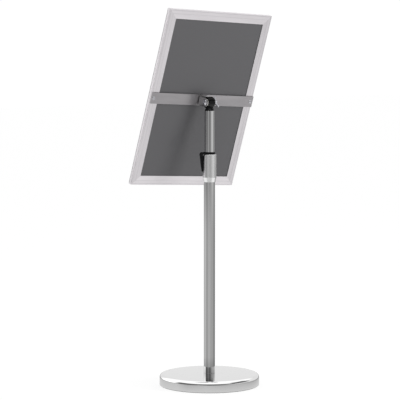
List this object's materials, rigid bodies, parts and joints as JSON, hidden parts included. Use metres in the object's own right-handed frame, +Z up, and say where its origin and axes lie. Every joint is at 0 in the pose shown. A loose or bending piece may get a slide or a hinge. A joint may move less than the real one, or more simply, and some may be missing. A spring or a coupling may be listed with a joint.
{
  "type": "poster sign stand",
  "caption": "Free-standing poster stand: weighted round base, telescopic pole with a lever clamp, tilting and turning snap-open frame.",
  "frame": {"origin": "centre of the base's underside, on the floor", "axes": "+Z up the pole, +Y towards the back of the sign, +X along the hinge bolt to its domed head"},
  "size_m": [0.356, 0.25, 0.9439],
  "materials": {
    "polished_base": "polished",
    "polished_tube": "polished",
    "satin_sleeve": "satin",
    "bracket_steel": "satin",
    "zinc": "zinc plated",
    "cast_weight": "rough",
    "rubber": "matt",
    "black_plastic": "moulded, semi-gloss",
    "brake_pad": "matt",
    "white_nylon": "moulded",
    "bar_aluminium": "satin",
    "frame_aluminium": "fine brushed, anodised",
    "spring_steel": "tempered",
    "grey_panel": "smooth satin",
    "paper": "uncoated",
    "clear_sheet": "clear, anti-glare"
  },
  "bodies": {
    "stand": {"base_pad": "rubber", "base_weight": "cast_weight", "base_cover": "polished_base", "pole_bolt": "zinc", "pole_washer": "zinc", "pole_plug": "zinc", "lower_tube": "polished_tube", "clamp_sleeve": "satin_sleeve", "clamp_bush": "black_plastic", "lever_pin": "spring_steel"},
    "lever": {"clamp_lever": "black_plastic"},
    "shoe": {"brake_shoe": "brake_pad"},
    "guide": {"guide_bush": "white_nylon"},
    "mast": {"upper_tube": "polished_tube", "knuckle": "black_plastic"},
    "bracket": {"hinge_bracket": "bracket_steel", "hinge_bolt": "bracket_steel", "friction_washers": "white_nylon", "turn_rivet": "zinc", "turn_washer": "white_nylon"},
    "nut_washer": {"nut_washer": "zinc"},
    "wing_nut": {"wing_nut": "zinc"},
    "sign": {"cross_bar": "bar_aluminium", "bar_screws": "zinc", "bar_nuts": "zinc", "rail_top": "frame_aluminium", "rail_bottom": "frame_aluminium", "rail_left": "frame_aluminium", "rail_right": "frame_aluminium", "corner_keys": "zinc", "cover_springs": "spring_steel", "back_panel": "grey_panel", "poster_sheet": "paper", "cover_sheet": "clear_sheet"},
    "cover_top": {"snap_cover_top": "frame_aluminium"},
    "cover_bottom": {"snap_cover_bottom": "frame_aluminium"},
    "cover_left": {"snap_cover_left": "frame_aluminium"},
    "cover_right": {"snap_cover_right": "frame_aluminium"}
  },
  "joints": [
    {"name": "lever_flip", "type": "hinge", "parent": "stand", "child": "lever", "pos_m": [0.0165, -0.00667, 0.579], "axis": [-0.3746, -0.9272, 0], "range_deg": [0, 100]},
    {"name": "shoe_slide", "type": "slide", "parent": "stand", "child": "shoe", "axis": [0.9272, -0.3746, 0], "range_m": [0, 0.0008]},
    {"name": "height_slide", "type": "slide", "parent": "stand", "child": "guide", "axis": [0, 0, 1], "range_m": [-0.095, 0.29]},
    {"name": "mast_swivel", "type": "hinge", "parent": "guide", "child": "mast", "pos_m": [0, 0, 0.2095], "axis": [0, 0, 1], "continuous": true},
    {"name": "sign_tilt", "type": "hinge", "parent": "mast", "child": "bracket", "pos_m": [0, 0, 0.7095], "axis": [1, 0, 0], "range_deg": [-74, 16]},
    {"name": "wing_nut_travel", "type": "slide", "parent": "bracket", "child": "nut_washer", "axis": [-1, 0, 0], "range_m": [0, 0.002]},
    {"name": "wing_nut_turn", "type": "hinge", "parent": "nut_washer", "child": "wing_nut", "pos_m": [-0.018, 0, 0.7095], "axis": [-1, 0, 0], "range_deg": [0, 720]},
    {"name": "sign_turn", "type": "hinge", "parent": "bracket", "child": "sign", "pos_m": [0, -0.0274, 0.71444], "axis": [0, 0.9613, -0.2756], "range_deg": [-86.5, 93.5]},
    {"name": "cover_top_flip", "type": "hinge", "parent": "sign", "child": "cover_top", "pos_m": [-0.01366, 0.02418, 0.93204], "axis": [-0.9981, -0.0168, -0.0587], "range_deg": [0, 85]},
    {"name": "cover_bottom_flip", "type": "hinge", "parent": "sign", "child": "cover_bottom", "pos_m": [0.01366, -0.09897, 0.50258], "axis": [0.9981, 0.0168, 0.0587], "range_deg": [0, 85]},
    {"name": "cover_left_flip", "type": "hinge", "parent": "sign", "child": "cover_left", "pos_m": [-0.162, -0.04013, 0.70779], "axis": [0.061, -0.2751, -0.9595], "range_deg": [0, 85]},
    {"name": "cover_right_flip", "type": "hinge", "parent": "sign", "child": "cover_right", "pos_m": [0.162, -0.03466, 0.72683], "axis": [-0.061, 0.2751, 0.9595], "range_deg": [0, 85]}
  ],
  "couplings": [
    {"joint": "shoe_slide", "follows": "lever_flip", "m_per_rad": 0.00045837},
    {"joint": "wing_nut_turn", "follows": "wing_nut_travel", "rad_per_m": 6283.2}
  ]
}
